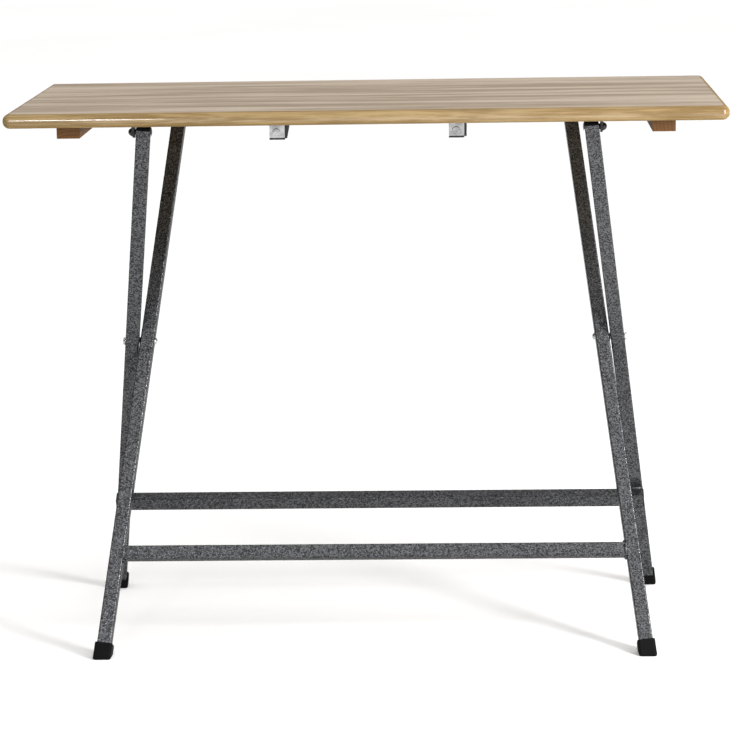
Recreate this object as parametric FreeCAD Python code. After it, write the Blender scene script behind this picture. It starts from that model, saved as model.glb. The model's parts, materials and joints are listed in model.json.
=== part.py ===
"""Folding work table: a bullnosed board on two crossed, splayed leg frames of square tube.

Frame: origin on the floor under the middle of the board, +X along the long side, +Y to the back,
+Z up. Millimetres. Each leg frame is first drawn upright, with the scissor pivot as its centre,
and is then leaned about the pivot's axis.
"""
import os
import FreeCAD
import Part
from math import cos, hypot, radians, sin, tan

V = FreeCAD.Vector
X_AXIS, Y_AXIS, Z_AXIS = V(1, 0, 0), V(0, 1, 0), V(0, 0, 1)

# ---- driving dimensions -------------------------------------------------------------------
TOP_LENGTH = 1000.0
TOP_DEPTH = 500.0
TOP_HEIGHT = 785.0
TOP_THICK = 20.0
TOP_CORNER = 10.4
BULLNOSE = 9.4

BATTEN_X = 411.0          # centre line of a batten
BATTEN_WIDTH = 32.0
BATTEN_THICK = 16.0
BATTEN_LENGTH = 460.0

TUBE = 20.0               # square tube, outside
WALL = 1.5
TUBE_CORNER = 2.0

LEAN = 26.0               # of each leg frame from the vertical, open
SPLAY = 6.7               # of each leg inside its frame's plane
PIVOT_Z = 425.0
PIVOT_X = 345.6           # middle of the gap between the two tubes at the pivot
LEG_PITCH = 22.6          # outer leg's centre to inner leg's centre
HINGE_DROP = 15.0         # from the board's underside to the hinge line and the crossbar's centre

REAR_STRETCHER_DOWN = 287.0   # below the pivot, measured in the frame's plane
FRONT_STRETCHER_DOWN = 320.4
STRETCHER_SHORT = 1.2     # of the tube inside the outer leg's outer face
STRETCHER_CAP = 1.5
OUTER_END = 7.0           # outer leg's tube above the hinge line
PLUG_R = 12.4             # of the outer plug's head about the hinge line

FOOT_SIZE = 25.6
FOOT_CORNER = 4.0
FOOT_HEIGHT = 18.5
FOOT_EDGE = 2.6           # round of the sole's rim
FOOT_SOLE = 10.4          # leg tube's end centre above the floor

BOLT_R = 4.0              # pivot bolt and hinge pin
RUNNING = 0.05            # radial clearance of a turning or slid-in shaft
SCREW_R = 2.0
SCREW_DEPTH = 12.0        # of a pilot hole in the board

CATCH_X = 125.5           # centre of a catch
CATCH_WIDTH = 21.5
CATCH_SHEET = 2.0
CATCH_SIDE = 3.4          # thickness of the front catch's side flange
CATCH_DROP = 27.0
CATCH_FRONT_Y = -172.0
CATCH_BACK_Y = -116.5

# ---- derived ------------------------------------------------------------------------------
UNDER = TOP_HEIGHT - TOP_THICK
HINGE_Z = UNDER - HINGE_DROP
ARM = (HINGE_Z - PIVOT_Z) / cos(radians(LEAN))    # pivot to hinge line, and to the crossbar
HINGE_Y = -ARM * sin(radians(LEAN))
OUTER_X = PIVOT_X + LEG_PITCH / 2                 # leg centre at the pivot
INNER_X = PIVOT_X - LEG_PITCH / 2
SLOPE = tan(radians(SPLAY))
HALF_W = TUBE / 2 / cos(radians(SPLAY))           # half of a splayed tube's width along X
FLOOR_DOWN = PIVOT_Z / cos(radians(LEAN))         # pivot to floor in the frame's plane


# ---- basic shapes -------------------------------------------------------------------------
def box(x0, x1, y0, y1, z0, z1):
    """A box between two corners, given in any order."""
    low = V(min(x0, x1), min(y0, y1), min(z0, z1))
    return Part.makeBox(abs(x1 - x0), abs(y1 - y0), abs(z1 - z0), low)


def rod_x(x0, x1, y, z, r):
    """A round bar along X."""
    return Part.makeCylinder(r, abs(x1 - x0), V(min(x0, x1), y, z), X_AXIS)


def rod_z(x, y, z0, z1, r):
    """A round bar along Z."""
    return Part.makeCylinder(r, abs(z1 - z0), V(x, y, min(z0, z1)), Z_AXIS)


def dome(base, way, r, h):
    """A spherical cap of radius r and height h standing on base, pointing along way."""
    ball_r = (r * r + h * h) / (2 * h)
    ball = Part.makeSphere(ball_r, base + way * (h - ball_r))
    return ball.common(Part.makeCylinder(ball_r + 1, h + 1, base, way))


def rounded_prism(size, corner, z0, z1):
    """A square bar of the given size along Z, with its four long edges rounded."""
    h = size / 2
    bar = box(-h, h, -h, h, z0, z1)
    edges = [e for e in bar.Edges if abs(e.tangentAt(e.FirstParameter).z) > 0.9]
    return bar.makeFillet(corner, edges)


def square_tube(z0, z1):
    """A hollow square tube along Z."""
    core = rounded_prism(TUBE - 2 * WALL, TUBE_CORNER - WALL + 0.3, z0 - 1, z1 + 1)
    return rounded_prism(TUBE, TUBE_CORNER, z0, z1).cut(core)


def along_x(shape):
    """Turn a shape drawn along Z so that it runs along X."""
    return turned(shape, V(0, 0, 0), Y_AXIS, 90)


def turned(shape, centre, axis, angle):
    """A copy of a shape, rotated."""
    out = shape.copy()
    out.rotate(centre, axis, angle)
    return out


def moved(shape, x, y, z):
    """A copy of a shape, translated."""
    out = shape.copy()
    out.translate(V(x, y, z))
    return out


def mirrored(shape):
    """The right-hand twin of a left-hand shape."""
    return shape.mirror(V(0, 0, 0), X_AXIS)


# ---- leg frames ---------------------------------------------------------------------------
def leg_x(centre_x, up):
    """Distance of a leg's centre line from the middle plane, at a height above the pivot."""
    return centre_x - SLOPE * up


def on_left_leg(shape, centre_x):
    """Set a shape drawn along Z about the pivot's height onto the left leg's splayed line."""
    return moved(turned(shape, V(0, 0, 0), Y_AXIS, SPLAY), -centre_x, 0, PIVOT_Z)


def lean_outer(shape):
    """Lean an upright outer frame piece: its top goes to the front."""
    return turned(shape, V(0, 0, PIVOT_Z), X_AXIS, LEAN)


def lean_inner(shape):
    """Lean an upright inner frame piece: its top goes to the back."""
    return turned(shape, V(0, 0, PIVOT_Z), X_AXIS, -LEAN)


def down_leg(distance):
    """Length along a splayed leg for a distance in the frame's plane."""
    return distance / cos(radians(SPLAY))


def leg_tube(centre_x, top_up, pin_up, lean):
    """Left leg tube with its cross holes at the pivot and, if pin_up is given, at the hinge."""
    bottom = -down_leg((PIVOT_Z - FOOT_SOLE) / cos(radians(LEAN)))
    leg = on_left_leg(square_tube(bottom, down_leg(top_up)), centre_x)
    for up in [0] + ([pin_up] if pin_up else []):
        x = -leg_x(centre_x, up)
        leg = leg.cut(rod_x(x - TUBE, x + TUBE, 0, PIVOT_Z + up, BOLT_R + RUNNING))
    return lean(leg)


def leg_envelope(centre_x):
    """The left leg as a solid bar, upright, for trimming what butts against it."""
    return on_left_leg(rounded_prism(TUBE, TUBE_CORNER, -FLOOR_DOWN, ARM + TUBE), centre_x)


def foot(centre_x, lean):
    """Left foot: a sleeve round the tube's end with a sole cut level with the floor."""
    floor_s = -down_leg(FLOOR_DOWN)
    top_s = -down_leg((PIVOT_Z - FOOT_HEIGHT) / cos(radians(LEAN)))
    end_s = -down_leg((PIVOT_Z - FOOT_SOLE) / cos(radians(LEAN)))
    block = rounded_prism(FOOT_SIZE, FOOT_CORNER, floor_s - TUBE, top_s)
    rim = [e for e in block.Edges if abs(e.CenterOfMass.z - top_s) < 0.01]
    block = block.makeFillet(1.2, rim)
    socket = rounded_prism(TUBE + 2 * RUNNING, TUBE_CORNER, end_s - RUNNING, top_s + 1)
    block = lean(on_left_leg(block.cut(socket), centre_x))
    reach = 2 * TOP_LENGTH
    sole = block.common(box(-reach, reach, -reach, reach, 0, reach))
    rim = [e for e in sole.Edges if e.BoundBox.ZMax < 0.01]
    return sole.makeFillet(FOOT_EDGE, rim)


def plug(centre_x, end_up, head, depth):
    """Left leg's top plug, upright: a stub inside the tube under a head of the given solid."""
    bore = TUBE - 2 * WALL - 0.2
    end = down_leg(end_up)
    cap = rounded_prism(TUBE, TUBE_CORNER, end + RUNNING, end + TUBE)
    cap = on_left_leg(cap, centre_x).common(head)
    stub = on_left_leg(rounded_prism(bore, 0.6, end - depth, end + RUNNING), centre_x)
    return cap.fuse(stub).removeSplitter()


def outer_plug():
    """Left outer leg's top plug: a head rounded about the hinge line, bored for the pin."""
    x = -leg_x(OUTER_X, ARM)
    head = rod_x(x - TUBE, x + TUBE, 0, PIVOT_Z + ARM, PLUG_R)
    bored = rod_x(x - TUBE, x + TUBE, 0, PIVOT_Z + ARM, BOLT_R + 0.4)
    return lean_outer(plug(OUTER_X, ARM + OUTER_END, head, 16.0).cut(bored))


def inner_plug():
    """Left inner leg's top plug: a thin flat head."""
    top = PIVOT_Z + ARM + TUBE / 2
    head = box(-INNER_X, 0, -TUBE, TUBE, top - 1.0, top + 1.2)
    return lean_inner(plug(INNER_X, ARM + TUBE / 2, head, 10.0))


def between_legs(centre_x, up, y=0.0):
    """A square tube along X, trimmed by the two legs at the given height above the pivot."""
    half = leg_x(centre_x, up)
    bar = moved(along_x(square_tube(-half, half)), 0, y, PIVOT_Z + up)
    left = leg_envelope(centre_x)
    return bar.cut(left).cut(mirrored(left))


def butt_welds(centre_x, up, r):
    """Beads of radius r round both ends of a tube that butts against the legs' inner faces."""
    h = TUBE / 2
    run = h - TUBE_CORNER
    face = -(leg_x(centre_x, up) - HALF_W)
    z = PIVOT_Z + up
    beads = []
    for side in (-1, 1):
        start = V(face - SLOPE * run, side * h, z - run)
        beads.append(Part.makeCylinder(r, 2 * run / cos(radians(SPLAY)), start, V(SLOPE, 0, 1)))
        start = V(face + side * SLOPE * h, -run, z + side * h)
        beads.append(Part.makeCylinder(r, 2 * run, start, Y_AXIS))
    bar = moved(along_x(rounded_prism(TUBE, TUBE_CORNER, face - TUBE, TUBE)), 0, 0, z)
    solids = []
    for bead in beads:
        bead = bead.cut(leg_envelope(centre_x)).cut(bar)
        solids += bead.Solids + mirrored(bead).Solids
    return Part.Compound(solids)


def lap_welds(centre_x, up):
    """Beads above and below a tube that lies across the legs' front faces."""
    h = TUBE / 2
    x = -leg_x(centre_x, up)
    solids = []
    for side in (-1, 1):
        z = PIVOT_Z + up + side * h
        bead = rod_x(x - HALF_W + TUBE_CORNER, x + HALF_W - TUBE_CORNER, -h, z, 2.6)
        bar = moved(along_x(rounded_prism(TUBE, TUBE_CORNER, x - TUBE, x + TUBE)),
                    0, -TUBE, PIVOT_Z + up)
        bead = bead.cut(leg_envelope(centre_x)).cut(bar)
        solids += bead.Solids + mirrored(bead).Solids
    return Part.Compound(solids)


def rear_stretcher():
    """Tube across the front faces of the outer legs, ending just inside their outer faces."""
    half = leg_x(OUTER_X, -REAR_STRETCHER_DOWN) + HALF_W - STRETCHER_SHORT
    bar = along_x(square_tube(-half, half))
    return lean_outer(moved(bar, 0, -TUBE, PIVOT_Z - REAR_STRETCHER_DOWN))


def rear_stretcher_cap():
    """Left end plug of the rear stretcher."""
    half = leg_x(OUTER_X, -REAR_STRETCHER_DOWN) + HALF_W - STRETCHER_SHORT
    bore = TUBE - 2 * WALL - 0.2
    head = rounded_prism(TUBE, TUBE_CORNER, -half - STRETCHER_CAP, -half - RUNNING)
    rim = [e for e in head.Edges if abs(e.CenterOfMass.z + half + STRETCHER_CAP) < 0.01]
    head = head.makeFillet(0.9, rim)
    stub = rounded_prism(bore, 0.6, -half - RUNNING, -half + 12)
    cap = along_x(head.fuse(stub).removeSplitter())
    return lean_outer(moved(cap, 0, -TUBE, PIVOT_Z - REAR_STRETCHER_DOWN))


# ---- scissor pivot ------------------------------------------------------------------------
def pivot_bolt():
    """Left pivot bolt: low dome on the inner leg's inner face, shank out through both legs."""
    seat = -(INNER_X - HALF_W) + 0.95
    tip = -(OUTER_X + HALF_W) - 2.6
    head = dome(V(seat, 0, PIVOT_Z), X_AXIS, 5.6, 3.4)
    return head.fuse(rod_x(tip, seat, 0, PIVOT_Z, BOLT_R)).removeSplitter()


def pivot_nut():
    """Left pivot nut: a thin round nut with a bevelled edge on the outer leg's outer face."""
    seat = -(OUTER_X + HALF_W) - 0.85
    nut = Part.makeCone(6.0, 5.0, 2.4, V(seat, 0, PIVOT_Z), V(-1, 0, 0))
    return nut.cut(rod_x(seat - 4, seat + 1, 0, PIVOT_Z, BOLT_R + RUNNING))


def pivot_spacer():
    """Left spacer washer, thin enough to turn between the slanted faces of the two legs."""
    disc = rod_x(-PIVOT_X - 0.5, -PIVOT_X + 0.5, 0, PIVOT_Z, 5.6)
    return disc.cut(rod_x(-PIVOT_X - 2, -PIVOT_X + 2, 0, PIVOT_Z, BOLT_R + RUNNING))


# ---- hinge --------------------------------------------------------------------------------
BRACKET_SHEET = 3.0
BRACKET_BASE = 2.0
CHEEK_IN = leg_x(OUTER_X, ARM) + HALF_W + 1.8     # clear of the splayed leg as it turns
CHEEK_OUT = CHEEK_IN + BRACKET_SHEET
CHEEK_R = 8.2
BRACKET_HALF = 26.0
BRACKET_IN = leg_x(OUTER_X, ARM) - HALF_W
BRACKET_SCREWS = [(-(BRACKET_IN + CHEEK_OUT) / 2, HINGE_Y + dy) for dy in (-19.0, 19.0)]


def hinge_bracket():
    """Left hinge angle: a base under the board and one cheek outside the leg."""
    base = box(-CHEEK_OUT, -BRACKET_IN, HINGE_Y - BRACKET_HALF, HINGE_Y + BRACKET_HALF,
               UNDER - BRACKET_BASE, UNDER)
    outline = [V(-CHEEK_OUT, HINGE_Y - BRACKET_HALF, UNDER - BRACKET_BASE),
               V(-CHEEK_OUT, HINGE_Y - CHEEK_R, HINGE_Z),
               V(-CHEEK_OUT, HINGE_Y + CHEEK_R, HINGE_Z),
               V(-CHEEK_OUT, HINGE_Y + BRACKET_HALF, UNDER - BRACKET_BASE)]
    face = Part.Face(Part.makePolygon(outline + outline[:1]))
    cheek = face.extrude(X_AXIS * BRACKET_SHEET)
    cheek = cheek.fuse(rod_x(-CHEEK_OUT, -CHEEK_IN, HINGE_Y, HINGE_Z, CHEEK_R))
    bracket = base.fuse(cheek)
    for x, y in BRACKET_SCREWS:
        bracket = bracket.cut(rod_z(x, y, UNDER - 5, UNDER + 1, SCREW_R + RUNNING))
    hole = rod_x(-CHEEK_OUT - 1, -CHEEK_IN + 1, HINGE_Y, HINGE_Z, BOLT_R + RUNNING)
    return bracket.cut(hole).removeSplitter()


def hinge_pin():
    """Left hinge pin: domed outer end with a collar, shank through cheek and leg, low tail."""
    tail = -(leg_x(OUTER_X, ARM) - HALF_W) + 0.85
    pin = rod_x(-CHEEK_OUT, tail, HINGE_Y, HINGE_Z, BOLT_R)
    collar = rod_x(-CHEEK_OUT - 1.5, -CHEEK_OUT, HINGE_Y, HINGE_Z, 6.4)
    cap = dome(V(-CHEEK_OUT - 1.5, HINGE_Y, HINGE_Z), V(-1, 0, 0), 5.6, 4.8)
    end = dome(V(tail, HINGE_Y, HINGE_Z), X_AXIS, 6.5, 1.4)
    return pin.fuse([collar, cap, end]).removeSplitter()


def pan_screw(x, y, seat_z):
    """Wood screw pointing up, with a pan head under the sheet it holds."""
    head = dome(V(x, y, seat_z), V(0, 0, -1), 3.9, 2.0)
    return head.fuse(rod_z(x, y, seat_z, UNDER + SCREW_DEPTH - 0.5, SCREW_R)).removeSplitter()


# ---- catches ------------------------------------------------------------------------------
REAR_MOUTH_Y = -HINGE_Y                           # crossbar's centre in the rear catch
CROSSBAR_HALF = (TUBE / 2 - TUBE_CORNER) * (cos(radians(LEAN)) + sin(radians(LEAN))) + TUBE_CORNER
FRONT_SCREW_Y = (-156.0, -128.0)
REAR_SCREW_Y = (183.0, 201.0)


def front_catch(side):
    """Front catch: base strip, front finger with a boss and a turned-in lip, side flange."""
    x = side * CATCH_X
    x0, x1 = x - CATCH_WIDTH / 2, x + CATCH_WIDTH / 2
    t = CATCH_SHEET
    low = UNDER - CATCH_DROP
    base = box(x0, x1 + CATCH_SIDE, CATCH_FRONT_Y, CATCH_BACK_Y, UNDER - t, UNDER)
    finger = box(x0, x1, CATCH_FRONT_Y, CATCH_FRONT_Y + t, low, UNDER)
    lip = box(x0, x1, CATCH_FRONT_Y, CATCH_FRONT_Y + 13, low, low + t)
    outline = [V(x1, CATCH_FRONT_Y, UNDER), V(x1, CATCH_BACK_Y, UNDER),
               V(x1, CATCH_BACK_Y, UNDER - 14), V(x1, CATCH_FRONT_Y, UNDER - 25)]
    flange = Part.Face(Part.makePolygon(outline + outline[:1])).extrude(X_AXIS * CATCH_SIDE)
    boss_z = UNDER - 16.5
    boss = Part.makeCone(5.6, 4.6, 0.9, V(x - 0.8, CATCH_FRONT_Y, boss_z), V(0, -1, 0))
    boss = boss.cut(Part.makeCylinder(2.4, 2, V(x - 0.8, CATCH_FRONT_Y + 0.4, boss_z), V(0, -1, 0)))
    catch = base.fuse([finger, lip, flange, boss])
    for y in FRONT_SCREW_Y:
        catch = catch.cut(rod_z(x, y, UNDER - 5, UNDER + 1, SCREW_R + RUNNING))
    return catch.removeSplitter()


def rear_catch(side):
    """Rear catch: a hook round the back of the crossbar, its mouth facing the front."""
    x = side * CATCH_X
    x0, x1 = x - CATCH_WIDTH / 2, x + CATCH_WIDTH / 2
    t = CATCH_SHEET
    wall = REAR_MOUTH_Y + CROSSBAR_HALF + 0.5
    lip_top = HINGE_Z - CROSSBAR_HALF - 0.6
    base = box(x0, x1, REAR_MOUTH_Y - 12, REAR_SCREW_Y[1] + 9, UNDER - t, UNDER)
    back = box(x0, x1, wall, wall + t, lip_top - t, UNDER)
    lip = box(x0, x1, REAR_MOUTH_Y - 6, wall + t, lip_top - t, lip_top)
    catch = base.fuse([back, lip])
    for y in REAR_SCREW_Y:
        catch = catch.cut(rod_z(x, y, UNDER - 5, UNDER + 1, SCREW_R + RUNNING))
    return catch.removeSplitter()


# ---- board and battens --------------------------------------------------------------------
BATTEN_SCREW_Y = (-190.0, -65.0, 65.0, 190.0)


def batten_screw(x, y, spare=0.0):
    """Countersunk screw through a batten, or with spare clearance the hole it sits in."""
    low = UNDER - BATTEN_THICK
    head = Part.makeCone(4.2 + spare, SCREW_R + spare, 2.4, V(x, y, low), Z_AXIS)
    top = UNDER + SCREW_DEPTH - 0.5 + 10 * spare
    return head.fuse(rod_z(x, y, low, top, SCREW_R + spare)).removeSplitter()


def batten():
    """Left batten with its screw holes."""
    h = BATTEN_WIDTH / 2
    bar = box(-BATTEN_X - h, -BATTEN_X + h, -BATTEN_LENGTH / 2, BATTEN_LENGTH / 2,
              UNDER - BATTEN_THICK, UNDER)
    low = [e for e in bar.Edges if e.BoundBox.ZMax < UNDER - BATTEN_THICK + 0.01]
    bar = bar.makeFillet(1.0, low)
    for y in BATTEN_SCREW_Y:
        bar = bar.cut(batten_screw(-BATTEN_X, y, RUNNING))
    return bar


def screw_sites():
    """Places in the board's underside that take a screw."""
    sites = [(sx * x, y) for sx in (-1, 1) for x, y in BRACKET_SCREWS]
    sites += [(sx * CATCH_X, y) for sx in (-1, 1) for y in FRONT_SCREW_Y + REAR_SCREW_Y]
    sites += [(sx * BATTEN_X, y) for sx in (-1, 1) for y in BATTEN_SCREW_Y]
    return sites


def tabletop():
    """The board: rounded plan corners, bullnose all round, pilot holes underneath."""
    board = box(-TOP_LENGTH / 2, TOP_LENGTH / 2, -TOP_DEPTH / 2, TOP_DEPTH / 2, UNDER, TOP_HEIGHT)
    corners = [e for e in board.Edges if abs(e.tangentAt(e.FirstParameter).z) > 0.9]
    board = board.makeFillet(TOP_CORNER, corners)
    rims = [e for e in board.Edges if e.BoundBox.ZMax - e.BoundBox.ZMin < 0.01]
    board = board.makeFillet(BULLNOSE, rims)
    for x, y in screw_sites():
        board = board.cut(rod_z(x, y, UNDER - 1, UNDER + SCREW_DEPTH, SCREW_R + RUNNING))
    return board


# ---- nodes --------------------------------------------------------------------------------
def both(name, left):
    """A left node and its mirrored right twin."""
    return {name + "_left": left, name + "_right": mirrored(left)}


def sheet_screws(spots):
    """A group of pan screws under the same thickness of sheet."""
    return Part.Compound([pan_screw(x, y, UNDER - CATCH_SHEET) for x, y in spots])


def nodes():
    """Every node of the table in its open pose."""
    out = {"tabletop": tabletop()}
    out.update(both("batten", batten()))
    out["batten_screws"] = Part.Compound(
        [batten_screw(sx * BATTEN_X, y) for sx in (-1, 1) for y in BATTEN_SCREW_Y])
    out.update(both("hinge_bracket", hinge_bracket()))
    out["hinge_bracket_screws"] = sheet_screws(
        [(sx * x, y) for sx in (-1, 1) for x, y in BRACKET_SCREWS])
    out.update(both("hinge_pin", hinge_pin()))
    for side, word in ((-1, "left"), (1, "right")):
        out["front_catch_" + word] = front_catch(side)
        out["rear_catch_" + word] = rear_catch(side)
    out["catch_screws"] = sheet_screws(
        [(sx * CATCH_X, y) for sx in (-1, 1) for y in FRONT_SCREW_Y + REAR_SCREW_Y])

    out.update(both("outer_leg", leg_tube(OUTER_X, ARM + OUTER_END, ARM, lean_outer)))
    out.update(both("outer_plug", outer_plug()))
    out.update(both("outer_foot", foot(OUTER_X, lean_outer)))
    out["rear_stretcher"] = rear_stretcher()
    out.update(both("rear_stretcher_cap", rear_stretcher_cap()))
    out["rear_stretcher_welds"] = lean_outer(lap_welds(OUTER_X, -REAR_STRETCHER_DOWN))
    out.update(both("pivot_bolt", pivot_bolt()))
    out.update(both("pivot_nut", pivot_nut()))
    out.update(both("pivot_spacer", pivot_spacer()))

    out.update(both("inner_leg", leg_tube(INNER_X, ARM + TUBE / 2, None, lean_inner)))
    out.update(both("inner_plug", inner_plug()))
    out.update(both("inner_foot", foot(INNER_X, lean_inner)))
    out["inner_crossbar"] = lean_inner(between_legs(INNER_X, ARM))
    out["crossbar_welds"] = lean_inner(butt_welds(INNER_X, ARM, 1.4))
    out["front_stretcher"] = lean_inner(between_legs(INNER_X, -FRONT_STRETCHER_DOWN))
    welds = butt_welds(INNER_X, -FRONT_STRETCHER_DOWN, 2.4)
    out["front_stretcher_welds"] = lean_inner(welds)
    return out


def main():
    """Write one STEP file per node."""
    os.makedirs("parts", exist_ok=True)
    for name, shape in nodes().items():
        if not shape.isValid():
            print("invalid", name)
        bb = shape.BoundBox
        print("%-26s solids %2d volume %10.1f  x %7.1f %7.1f  y %7.1f %7.1f  z %6.1f %6.1f" % (
            name, len(shape.Solids), shape.Volume, bb.XMin, bb.XMax, bb.YMin, bb.YMax,
            bb.ZMin, bb.ZMax))
        shape.exportStep("parts/" + name + ".step")
    print("arm %.2f hinge y %.2f z %.2f span %.2f" % (
        ARM, HINGE_Y, HINGE_Z, hypot(HINGE_Y, HINGE_Z - PIVOT_Z)))


main()
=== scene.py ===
"""Looks of the folding work table: finishes, weld beads, floor, light and camera round the fixed frame."""
import json
import math

import bpy
import numpy as np
from mathutils import Matrix, Vector


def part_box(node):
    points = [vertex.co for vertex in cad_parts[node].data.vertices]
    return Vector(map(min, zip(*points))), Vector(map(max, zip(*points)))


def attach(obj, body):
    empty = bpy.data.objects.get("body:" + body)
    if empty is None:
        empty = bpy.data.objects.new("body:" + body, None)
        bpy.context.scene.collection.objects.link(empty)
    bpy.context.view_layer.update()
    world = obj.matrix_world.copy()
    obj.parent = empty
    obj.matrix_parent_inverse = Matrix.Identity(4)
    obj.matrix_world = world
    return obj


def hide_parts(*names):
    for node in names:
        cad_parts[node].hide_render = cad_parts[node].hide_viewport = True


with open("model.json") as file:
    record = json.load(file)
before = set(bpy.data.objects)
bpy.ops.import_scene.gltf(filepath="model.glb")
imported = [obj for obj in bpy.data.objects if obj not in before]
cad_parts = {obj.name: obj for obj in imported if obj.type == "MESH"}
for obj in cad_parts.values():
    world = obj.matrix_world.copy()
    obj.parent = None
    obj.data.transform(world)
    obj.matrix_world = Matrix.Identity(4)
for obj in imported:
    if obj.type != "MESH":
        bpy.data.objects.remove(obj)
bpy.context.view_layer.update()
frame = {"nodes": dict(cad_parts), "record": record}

NODES = frame["nodes"]
MM = 0.001
CATCH_SIDE = 3.4 * MM       # thickness of a front catch's side flange
FLOOR_REACH = 40.0          # half of the floor's side


# ---- node tree helpers --------------------------------------------------------------------
def srgb(r, g, b):
    """Linear colour of a screen colour given as 0 to 255."""
    out = []
    for v in (r, g, b):
        v /= 255.0
        out.append(v / 12.92 if v <= 0.04045 else ((v + 0.055) / 1.055) ** 2.4)
    return (*out, 1.0)


class Tree:
    """Short calls for adding and joining the nodes of one tree."""

    def __init__(self, tree):
        self.tree = tree

    def add(self, kind, **settings):
        """A new node with the given settings."""
        node = self.tree.nodes.new(kind)
        for key, value in settings.items():
            setattr(node, key, value)
        return node

    def put(self, socket, value):
        """Join a socket or set its constant."""
        if isinstance(value, bpy.types.NodeSocket):
            self.tree.links.new(value, socket)
        else:
            socket.default_value = value

    def math(self, op, a, b=0.0):
        """Result of one operation on two values."""
        node = self.add("ShaderNodeMath", operation=op)
        self.put(node.inputs[0], a)
        self.put(node.inputs[1], b)
        return node.outputs[0]

    def span(self, value, low, high, out_low=0.0, out_high=1.0):
        """Smooth step of a value between two limits."""
        node = self.add("ShaderNodeMapRange", interpolation_type="SMOOTHSTEP")
        for socket, v in zip(node.inputs, (value, low, high, out_low, out_high)):
            self.put(socket, v)
        return node.outputs[0]

    def scaled(self, vector, x, y, z):
        """A vector stretched by its own factor along each axis."""
        node = self.add("ShaderNodeVectorMath", operation="MULTIPLY")
        self.put(node.inputs[0], vector)
        node.inputs[1].default_value = (x, y, z)
        return node.outputs[0]

    def shifted(self, vector, x, y, z):
        """A vector moved by an offset."""
        node = self.add("ShaderNodeVectorMath", operation="ADD")
        self.put(node.inputs[0], vector)
        node.inputs[1].default_value = (x, y, z)
        return node.outputs[0]

    def noise(self, vector, scale, detail=3.0, rough=0.5):
        """Cloudy noise from 0 to 1."""
        node = self.add("ShaderNodeTexNoise")
        self.put(node.inputs["Vector"], vector)
        self.put(node.inputs["Scale"], scale)
        node.inputs["Detail"].default_value = detail
        node.inputs["Roughness"].default_value = rough
        return node.outputs["Fac"]

    def mix(self, fac, a, b):
        """Colour a where fac is 0, b where it is 1."""
        node = self.add("ShaderNodeMix", data_type="RGBA")
        self.put(node.inputs[0], fac)
        self.put(node.inputs[6], a)
        self.put(node.inputs[7], b)
        return node.outputs[2]

    def wash(self, tint, mask, amount, colour):
        """A tint washed over with a colour, by a mask times an amount."""
        return self.mix(self.math("MULTIPLY", mask, amount), tint, colour)

    def bump(self, height, distance):
        """Surface normal over a relief whose full height is the given distance in metres."""
        node = self.add("ShaderNodeBump")
        node.inputs["Strength"].default_value = 1.0
        node.inputs["Distance"].default_value = distance
        self.put(node.inputs["Height"], height)
        return node.outputs["Normal"]

    def position(self):
        """Place on the object, in metres."""
        return self.add("ShaderNodeTexCoord").outputs["Object"]

    def facing(self):
        """Components of the surface's own normal in the object's axes."""
        normal = self.add("ShaderNodeTexCoord").outputs["Normal"]
        node = self.add("ShaderNodeSeparateXYZ")
        self.put(node.inputs[0], normal)
        return node.outputs

    def group(self, group, **values):
        """Outputs of a shared effect, placed with its own values."""
        node = self.add("ShaderNodeGroup", node_tree=group)
        for key, value in values.items():
            self.put(node.inputs[key.replace("_", " ")], value)
        return node.outputs


def new_group(name, inputs, outputs):
    """A shader node group with named sockets; returns the group, its tree, its input and output nodes."""
    group = bpy.data.node_groups.new(name, "ShaderNodeTree")
    for label, kind, value in inputs:
        socket = group.interface.new_socket(label, in_out="INPUT", socket_type=kind)
        if value is not None:
            socket.default_value = value
    for label, kind in outputs:
        group.interface.new_socket(label, in_out="OUTPUT", socket_type=kind)
    t = Tree(group)
    return group, t, t.add("NodeGroupInput").outputs, t.add("NodeGroupOutput").inputs


def new_material(name):
    """An empty material with one Principled surface; returns it, its tree and the shader's inputs."""
    mat = bpy.data.materials.new(name)
    mat.use_nodes = True
    mat.node_tree.nodes.clear()
    t = Tree(mat.node_tree)
    shader = t.add("ShaderNodeBsdfPrincipled")
    out = t.add("ShaderNodeOutputMaterial")
    t.put(out.inputs["Surface"], shader.outputs[0])
    return mat, t, shader.inputs


# ---- shared effects -----------------------------------------------------------------------
def grain_group():
    """Wood grain along one axis: broad streaks, fine fibres and short dark pores."""
    group, t, i, o = new_group(
        "long grain",
        [("Vector", "NodeSocketVector", None), ("Broad scale", "NodeSocketFloat", 10.0),
         ("Fibre scale", "NodeSocketFloat", 160.0)],
        [("Streak", "NodeSocketFloat"), ("Fibre", "NodeSocketFloat"), ("Pore", "NodeSocketFloat")])
    wander = t.noise(t.scaled(i["Vector"], 0.5, 1.0, 1.0), 4.0, 2.0)
    node = t.add("ShaderNodeCombineXYZ")
    t.put(node.inputs[1], t.math("MULTIPLY", t.math("SUBTRACT", wander, 0.5), 0.05))
    warped = t.add("ShaderNodeVectorMath", operation="ADD")
    t.put(warped.inputs[0], i["Vector"])
    t.put(warped.inputs[1], node.outputs[0])
    along = t.scaled(warped.outputs[0], 0.07, 1.0, 1.0)
    t.put(o["Streak"], t.noise(along, i["Broad scale"], 4.0, 0.55))
    fine = t.scaled(warped.outputs[0], 0.035, 1.0, 1.0)
    t.put(o["Fibre"], t.noise(fine, i["Fibre scale"], 3.0, 0.6))
    pore = t.noise(t.scaled(i["Vector"], 0.06, 1.0, 1.0), t.math("MULTIPLY", i["Fibre scale"], 2.2), 2.0)
    t.put(o["Pore"], t.span(pore, 0.62, 0.74))
    return group


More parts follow.
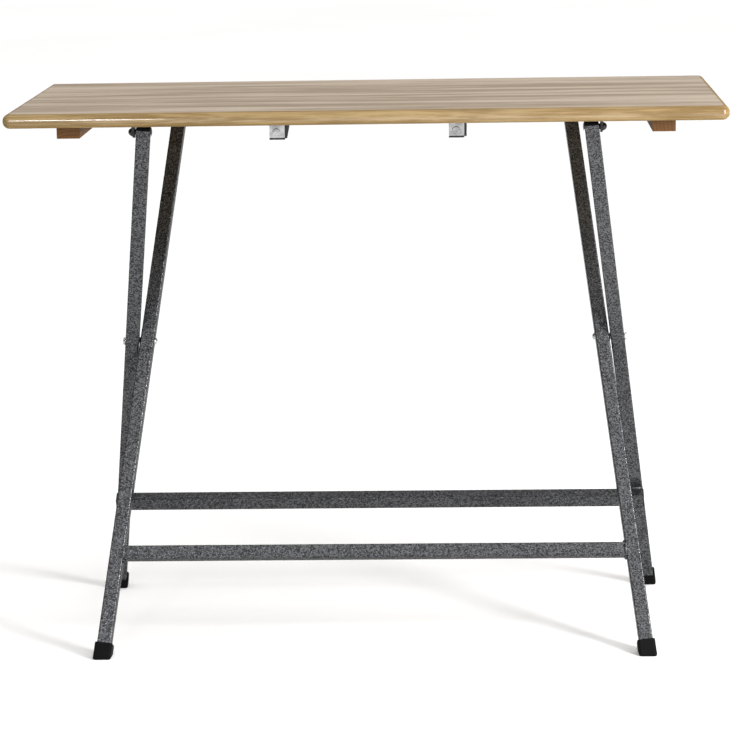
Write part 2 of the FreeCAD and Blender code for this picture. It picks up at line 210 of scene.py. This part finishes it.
def hammered_group():
    """Hammered enamel: shallow round cells with raised rims, and a flake brightness per cell."""
    group, t, i, o = new_group(
        "hammered enamel",
        [("Vector", "NodeSocketVector", None), ("Cell size", "NodeSocketFloat", 0.003)],
        [("Height", "NodeSocketFloat"), ("Flake", "NodeSocketFloat"), ("Rim", "NodeSocketFloat")])
    scale = t.math("DIVIDE", 1.0, i["Cell size"])
    wobble = t.add("ShaderNodeTexNoise")
    t.put(wobble.inputs["Vector"], i["Vector"])
    t.put(wobble.inputs["Scale"], scale)
    moved = t.add("ShaderNodeVectorMath", operation="MULTIPLY_ADD")
    t.put(moved.inputs[0], wobble.outputs["Color"])
    moved.inputs[1].default_value = (0.0016, 0.0016, 0.0016)
    t.put(moved.inputs[2], i["Vector"])
    cell = t.add("ShaderNodeTexVoronoi", feature="SMOOTH_F1")
    cell.inputs["Smoothness"].default_value = 0.35
    t.put(cell.inputs["Vector"], moved.outputs[0])
    t.put(cell.inputs["Scale"], scale)
    t.put(o["Height"], cell.outputs["Distance"])
    split = t.add("ShaderNodeSeparateColor")
    t.put(split.inputs[0], cell.outputs["Color"])
    t.put(o["Flake"], split.outputs[0])
    t.put(o["Rim"], t.span(cell.outputs["Distance"], 0.35, 0.75))
    return group


def marks_group():
    """Handling marks: soft blotches and a few short scuffs."""
    group, t, i, o = new_group(
        "handling marks",
        [("Vector", "NodeSocketVector", None), ("Size", "NodeSocketFloat", 0.04)],
        [("Blotch", "NodeSocketFloat"), ("Scuff", "NodeSocketFloat")])
    scale = t.math("DIVIDE", 1.0, i["Size"])
    t.put(o["Blotch"], t.noise(i["Vector"], scale, 4.0, 0.55))
    scuff = t.noise(t.scaled(i["Vector"], 1.0, 0.25, 1.0), t.math("MULTIPLY", scale, 9.0), 2.0)
    t.put(o["Scuff"], t.span(scuff, 0.66, 0.76))
    return group


GRAIN, HAMMER, MARKS = grain_group(), hammered_group(), marks_group()


# ---- finishes -----------------------------------------------------------------------------
def board_wood():
    """Varnished straight-grained wood: a yellower rounded edge and a greyer, lighter flat face, whose tint
    is partly the wood and partly a painted sheen of reflected light.
    """
    mat, t, p = new_material("board wood")
    at = t.position()
    grain = t.group(GRAIN, Vector=at, Broad_scale=34.0, Fibre_scale=300.0)
    marks = t.group(MARKS, Vector=at, Size=0.16)
    sideways, _, up = t.facing()
    face = t.span(up, 0.95, 0.999)
    # Painted shade: a band, set by the surface's facing, where the rounded edge rolls up into the flat
    # face.
    upper_roll_shade = t.math("MULTIPLY", t.span(up, 0.86, 0.96), t.span(up, 0.985, 0.9995, 1.0, 0.0))
    calm = t.span(t.math("ABSOLUTE", sideways), 0.3, 0.9, 1.0, 0.3)
    figure = t.math("ADD", t.math("MULTIPLY", grain["Streak"], 0.55),
                    t.math("MULTIPLY", grain["Fibre"], 0.45))
    figure = t.math("ADD", 0.5, t.math("MULTIPLY", t.math("SUBTRACT", figure, 0.5), calm))
    edge_tint = t.mix(t.span(figure, 0.4, 0.6), srgb(112, 91, 58), srgb(149, 128, 90))
    # The flat face's greyer, lighter tint is partly the wood's tone and partly painted sheen, the grey wash
    # of reflected light painted into the colour while the face's own specular is turned off.
    face_wood_and_sheen = t.mix(t.span(figure, 0.42, 0.58), srgb(146, 133, 118), srgb(185, 172, 157))
    tint = t.mix(face, edge_tint, face_wood_and_sheen)
    # The painted shade is washed in dark brown over the top of the rounded edge.
    tint = t.wash(tint, upper_roll_shade, 0.5, srgb(116, 92, 62))
    fibre = t.span(grain["Fibre"], 0.25, 0.75)
    tint = t.wash(tint, fibre, 0.24, srgb(112, 88, 64))
    tint = t.wash(tint, grain["Pore"], 0.3, srgb(92, 68, 46))
    tint = t.wash(tint, t.span(marks["Blotch"], 0.4, 0.75), 0.1, srgb(190, 174, 148))
    t.put(p["Base Color"], tint)
    t.put(p["Roughness"], t.span(grain["Fibre"], 0.2, 0.8, 0.5, 0.64))
    crest = t.math("MULTIPLY", t.span(up, -0.5, -0.2), t.span(up, 0.2, 0.45, 0.9, 0.0))
    crest = t.math("MULTIPLY", crest, t.span(t.math("ABSOLUTE", sideways), 0.2, 0.5, 1.0, 0.12))
    varnish = t.math("MULTIPLY", crest, t.span(grain["Fibre"], 0.35, 0.6, 0.45, 1.0))
    t.put(p["Coat Weight"], t.math("MAXIMUM", varnish, 0.03))
    p["Coat Roughness"].default_value = 0.14
    p["Coat IOR"].default_value = 1.7
    p["Specular IOR Level"].default_value = 0.0
    relief = t.bump(grain["Fibre"], 0.00006)
    t.put(p["Normal"], relief)
    return mat


def batten_wood():
    """Reddish-brown softwood: long grain on the sides, faint rings on the sawn ends."""
    mat, t, p = new_material("batten wood")
    at = t.position()
    turned = t.add("ShaderNodeVectorRotate", rotation_type="Z_AXIS")
    t.put(turned.inputs["Vector"], at)
    turned.inputs["Angle"].default_value = math.pi / 2
    grain = t.group(GRAIN, Vector=turned.outputs[0], Broad_scale=70.0, Fibre_scale=320.0)
    rings = t.add("ShaderNodeTexWave", wave_type="RINGS", rings_direction="Y")
    t.put(rings.inputs["Vector"], t.shifted(at, 0.4, 0.0, -0.66))
    rings.inputs["Scale"].default_value = 60.0
    rings.inputs["Distortion"].default_value = 2.0
    rings.inputs["Detail"].default_value = 2.0
    ends = t.span(t.math("ABSOLUTE", t.facing()[1]), 0.8, 0.95)
    side = t.mix(t.span(grain["Streak"], 0.3, 0.7), srgb(68, 41, 8), srgb(106, 69, 17))
    sawn = t.wash(srgb(72, 44, 10), rings.outputs["Fac"], 0.5, srgb(98, 62, 17))
    tint = t.mix(ends, side, sawn)
    tint = t.wash(tint, grain["Pore"], 0.4, srgb(62, 38, 22))
    t.put(p["Base Color"], tint)
    t.put(p["Roughness"], t.span(grain["Fibre"], 0.2, 0.8, 0.55, 0.75))
    p["Specular IOR Level"].default_value = 0.3
    t.put(p["Normal"], t.bump(grain["Fibre"], 0.0001))
    return mat


def enamel(name, dark, light, cell, depth):
    """Hammered metallic enamel of the given colours, cell size and relief."""
    mat, t, p = new_material(name)
    at = t.position()
    skin = t.group(HAMMER, Vector=at, Cell_size=cell)
    marks = t.group(MARKS, Vector=at, Size=0.05)
    tint = t.mix(t.span(skin["Flake"], 0.1, 0.9), dark, light)
    tint = t.wash(tint, skin["Rim"], 0.3, dark)
    tint = t.wash(tint, marks["Scuff"], 0.2, light)
    t.put(p["Base Color"], tint)
    p["Metallic"].default_value = 0.8
    p["Specular Tint"].default_value = (0.35, 0.35, 0.35, 1)
    t.put(p["Roughness"], t.span(skin["Flake"], 0.0, 1.0, 0.36, 0.2))
    t.put(p["Normal"], t.bump(skin["Height"], depth))
    return mat


def zinc(name, base, metal, rough, sheets=()):
    """Zinc plate with a faint crystalline mottle and rolling lines; each of the named bent sheets gets
    painted shade, near black and matte, on its right-hand return and round its lowest bend."""
    mat, t, p = new_material(name)
    at = t.position()
    marks = t.group(MARKS, Vector=at, Size=0.008)
    lines = t.noise(t.scaled(at, 1.0, 1.0, 0.08), 900.0, 2.0)
    shaded = srgb(*[int(v * 0.82) for v in base])
    tint = t.mix(t.span(marks["Blotch"], 0.35, 0.65), shaded, srgb(*base))
    tint = t.wash(tint, marks["Scuff"], 0.3, srgb(110, 110, 112))
    split = t.add("ShaderNodeSeparateXYZ")
    t.put(split.inputs[0], at)
    # Painted shade: on each named sheet, the right-hand return and the lowest bend are masked by position,
    # standing in for the shade they sit in under the board.
    painted_shade = 0.0
    for sheet in sheets:
        low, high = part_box(sheet)
        side = high[0] - CATCH_SIDE
        shaded_return = t.math("MULTIPLY", t.span(split.outputs[0], side, side + 0.2 * MM),
                        t.span(split.outputs[0], high[0] + 0.2 * MM, high[0] + 0.4 * MM, 1.0, 0.0))
        foot = t.span(split.outputs[2], low[2] + 2.2 * MM, low[2] + 3.2 * MM, 1.0, 0.0)
        painted_shade = t.math("MAXIMUM", painted_shade, t.math("MAXIMUM", shaded_return, foot))
    if sheets:
        # The painted shade is washed in near black over the return and the bend.
        tint = t.wash(tint, painted_shade, 0.95, srgb(20, 20, 22))
    t.put(p["Base Color"], tint)
    rough = t.span(marks["Blotch"], 0.3, 0.7, rough + 0.1, rough)
    if sheets:
        # Where the shade is painted, the zinc is also made non-metallic and matte.
        t.put(p["Metallic"], t.span(painted_shade, 0.0, 1.0, metal, 0.0))
        rough = t.math("MAXIMUM", rough, t.math("MULTIPLY", painted_shade, 0.9))
        p["Specular IOR Level"].default_value = 0.1
    else:
        p["Metallic"].default_value = metal
    t.put(p["Roughness"], rough)
    t.put(p["Normal"], t.bump(lines, 0.00002))
    return mat


def black(name, value, rough, pitting, gloss):
    """Moulded black plastic or satin black steel with a fine skin texture."""
    mat, t, p = new_material(name)
    at = t.position()
    marks = t.group(MARKS, Vector=at, Size=0.02)
    skin = t.noise(at, 1400.0, 2.0)
    grey = srgb(value, value, value)
    lift = srgb(value + 14, value + 14, value + 15)
    t.put(p["Base Color"], t.wash(grey, marks["Scuff"], 0.6, lift))
    t.put(p["Roughness"], t.span(marks["Blotch"], 0.3, 0.7, rough, rough + 0.14))
    p["Specular IOR Level"].default_value = gloss
    t.put(p["Normal"], t.bump(skin, pitting))
    return mat


FINISH = {
    "board_wood": board_wood(),
    "batten_wood": batten_wood(),
    "hammered_paint": enamel("hammered grey", srgb(44, 44, 45), srgb(100, 101, 104), 0.0015, 0.00016),
    "weld_paint": enamel("painted weld", srgb(62, 62, 64), srgb(112, 113, 116), 0.0013, 0.00008),
    "black_steel": black("satin black steel", 12, 0.26, 0.00002, 0.35),
    "black_plastic": black("black plug plastic", 8, 0.5, 0.00004, 0.1),
    "foot_rubber": black("black foot rubber", 10, 0.62, 0.00006, 0.07),
    "zinc_sheet": zinc("zinc sheet", (196, 196, 198), 1.0, 0.26, ("front_catch_left", "front_catch_right")),
    "zinc_fastener": zinc("zinc fastener", (200, 200, 203), 1.0, 0.14),
}
for entry in frame["record"]["subparts"]:
    mesh = NODES[entry["node"]].data
    mesh.materials.clear()
    mesh.materials.append(FINISH[entry["material_slot"]])


# ---- weld beads ---------------------------------------------------------------------------
LONG_BEAD_HALF = 6 * MM     # a bead with a longer half than this gets the larger radius
LONG_BEAD_RADIUS = 2.1 * MM
SHORT_BEAD_RADIUS = 1.5 * MM
RIPPLE_PITCH = 1.7 * MM


def islands(node):
    """Vertex arrays of the separate solids in a CAD node."""
    mesh = NODES[node].data
    co = np.empty(len(mesh.vertices) * 3)
    mesh.vertices.foreach_get("co", co)
    co = co.reshape(-1, 3)
    keys = {}
    index = np.array([keys.setdefault(tuple(np.round(p * 2e4).astype(int)), len(keys)) for p in co])
    label = np.arange(len(keys))
    tri = np.array([index[list(f.vertices)] for f in mesh.polygons])
    while True:
        low = label[tri].min(axis=1)
        before = label.copy()
        for k in range(3):
            np.minimum.at(label, tri[:, k], low)
        label = label[label]
        if (label == before).all():
            break
    return [co[label[index] == v] for v in np.unique(label[index])]


def bead(points, rings=72, around=20):
    """A rippled bead along a solid's longest direction: a rounded bar whose radius is the bar's own
    times (1 + small saw-toothed sine along its length), closing to a point at each end as the
    square root of the distance from the end."""
    centre = (points.min(axis=0) + points.max(axis=0)) / 2
    axes = np.linalg.svd(points - points.mean(axis=0), full_matrices=False)[2]
    along, side, lift = axes
    half = np.abs((points - centre) @ along).max()
    radius = LONG_BEAD_RADIUS if half > LONG_BEAD_HALF else SHORT_BEAD_RADIUS
    s = np.linspace(-1, 1, rings)
    phase = (s + 1) * half / RIPPLE_PITCH
    ripple = 1 + 0.10 * (1 - np.abs(2 * (phase % 1) - 1) ** 1.6) - 0.05
    girth = radius * ripple * np.sqrt(np.clip(1 - s ** 6, 0, 1))
    a = np.linspace(0, 2 * np.pi, around, endpoint=False)
    body = (centre + s[:, None, None] * half * along
            + girth[:, None, None] * (np.cos(a)[None, :, None] * side + np.sin(a)[None, :, None] * lift))
    if np.dot(np.cross(side, lift), along) < 0:
        body = body[:, ::-1]
    return body


def surface(name, grids, slot, body, stands_for):
    """One mesh object of several spindles: rings of points closed at each end by a fan of triangles
    round one pole, which is the grid's first or last ring drawn together."""
    verts, faces = [], []
    for grid in grids:
        rings, m = grid[1:-1], grid.shape[1]
        base = sum(len(v) for v in verts)
        first, last = base + rings.shape[0] * m, base + rings.shape[0] * m + 1
        verts += [rings.reshape(-1, 3), grid[0].mean(axis=0)[None], grid[-1].mean(axis=0)[None]]
        i, j = np.meshgrid(np.arange(len(rings) - 1), np.arange(m), indexing="ij")
        k = (j + 1) % m
        quads = np.stack([i * m + j, i * m + k, (i + 1) * m + k, (i + 1) * m + j], -1)
        faces += (quads.reshape(-1, 4) + base).tolist()
        j, k, top = base + np.arange(m), base + (np.arange(m) + 1) % m, (len(rings) - 1) * m
        faces += np.stack([np.full(m, first), k, j], -1).tolist()
        faces += np.stack([np.full(m, last), top + j, top + k], -1).tolist()
    mesh = bpy.data.meshes.new(name)
    mesh.from_pydata(np.concatenate(verts).tolist(), [], faces)
    mesh.materials.append(FINISH[slot])
    mesh.shade_smooth()
    piece = bpy.data.objects.new(name, mesh)
    bpy.context.scene.collection.objects.link(piece)
    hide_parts(stands_for)
    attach(piece, body)
    return piece


for node, body in (("rear_stretcher_welds", "outer_frame"), ("front_stretcher_welds", "inner_frame"),
                   ("crossbar_welds", "inner_frame")):
    surface(node.replace("welds", "beads"), [bead(p) for p in islands(node)], "weld_paint", body, node)


# ---- floor, light, camera -----------------------------------------------------------------
def floor():
    """A wide pale floor with the faintest mottle."""
    r = FLOOR_REACH
    mesh = bpy.data.meshes.new("floor")
    mesh.from_pydata([(-r, -r, 0), (r, -r, 0), (r, r, 0), (-r, r, 0)], [], [(0, 1, 2, 3)])
    mat, t, p = new_material("floor")
    tone = t.noise(t.position(), 0.6, 3.0)
    t.put(p["Base Color"], t.mix(t.span(tone, 0.3, 0.7), (0.92, 0.92, 0.915, 1), (0.95, 0.95, 0.945, 1)))
    p["Roughness"].default_value = 0.9
    p["Specular IOR Level"].default_value = 0.1
    mesh.materials.append(mat)
    ground = bpy.data.objects.new("floor", mesh)
    bpy.context.scene.collection.objects.link(ground)


def softbox(name, place, aim, width, height, watts):
    """A rectangular light at a place, turned to its aim and hidden from the lens."""
    data = bpy.data.lights.new(name, "AREA")
    data.shape = "RECTANGLE"
    data.size, data.size_y = width, height
    data.energy = watts
    light = bpy.data.objects.new(name, data)
    bpy.context.scene.collection.objects.link(light)
    light.location = place
    light.rotation_euler = (Vector(aim) - Vector(place)).to_track_quat("-Z", "Y").to_euler()
    light.visible_camera = False


def studio():
    """Room light that is bright high in front and dim near the horizon, stronger on the right; the
    lens sees it as plain white. The strength is (low + high * (front - low)) * side."""
    low = 0.4
    world = bpy.data.worlds.new("studio")
    bpy.context.scene.world = world
    world.use_nodes = True
    t = Tree(world.node_tree)
    way = t.add("ShaderNodeSeparateXYZ")
    t.put(way.inputs[0], t.add("ShaderNodeTexCoord").outputs["Generated"])
    back = world.node_tree.nodes["Background"]
    back.inputs["Color"].default_value = (1.0, 1.0, 1.0, 1)
    high = t.span(way.outputs[2], 0.42, 0.72)
    front = t.span(way.outputs[1], -0.45, 0.35, 2.1, 0.95)
    lift = t.math("MULTIPLY", high, t.math("SUBTRACT", front, low))
    side = t.span(way.outputs[0], -0.5, 0.3, 0.6, 1.25)
    room = t.math("MULTIPLY", t.math("ADD", low, lift), side)
    seen = t.add("ShaderNodeLightPath").outputs["Is Camera Ray"]
    to_white = t.math("MULTIPLY", seen, t.math("SUBTRACT", 1.0, room))
    t.put(back.inputs["Strength"], t.math("ADD", room, to_white))
    softbox("right", (2.0, -1.9, 1.2), (0.2, 0, 0.45), 0.45, 1.7, 100)
    softbox("front left", (-0.76, -3.0, 1.2), (-0.38, -0.2, 0.75), 0.26, 0.3, 10)


def camera():
    """A long lens a little above the board and a little right of its middle, aimed by yaw, pitch and
    roll in radians."""
    place = Vector((0.1565, -4.4379, 1.1846))
    yaw, pitch, roll = -0.0375, 0.1790, 0.0164
    ahead = Vector((math.sin(yaw) * math.cos(pitch), math.cos(yaw) * math.cos(pitch), -math.sin(pitch)))
    right = Vector((math.cos(yaw), -math.sin(yaw), 0))
    down = ahead.cross(right)
    x = math.cos(roll) * right + math.sin(roll) * down
    y = math.sin(roll) * right - math.cos(roll) * down
    data = bpy.data.cameras.new("camera")
    data.sensor_width = 36.0
    data.lens = 149.77
    data.clip_end = 200
    cam = bpy.data.objects.new("camera", data)
    bpy.context.scene.collection.objects.link(cam)
    turn = Matrix((x, y, -ahead)).transposed()
    cam.matrix_world = Matrix.Translation(place) @ turn.to_4x4()
    bpy.context.scene.camera = cam


floor()
studio()
camera()
bpy.context.scene.view_settings.view_transform = "Standard"
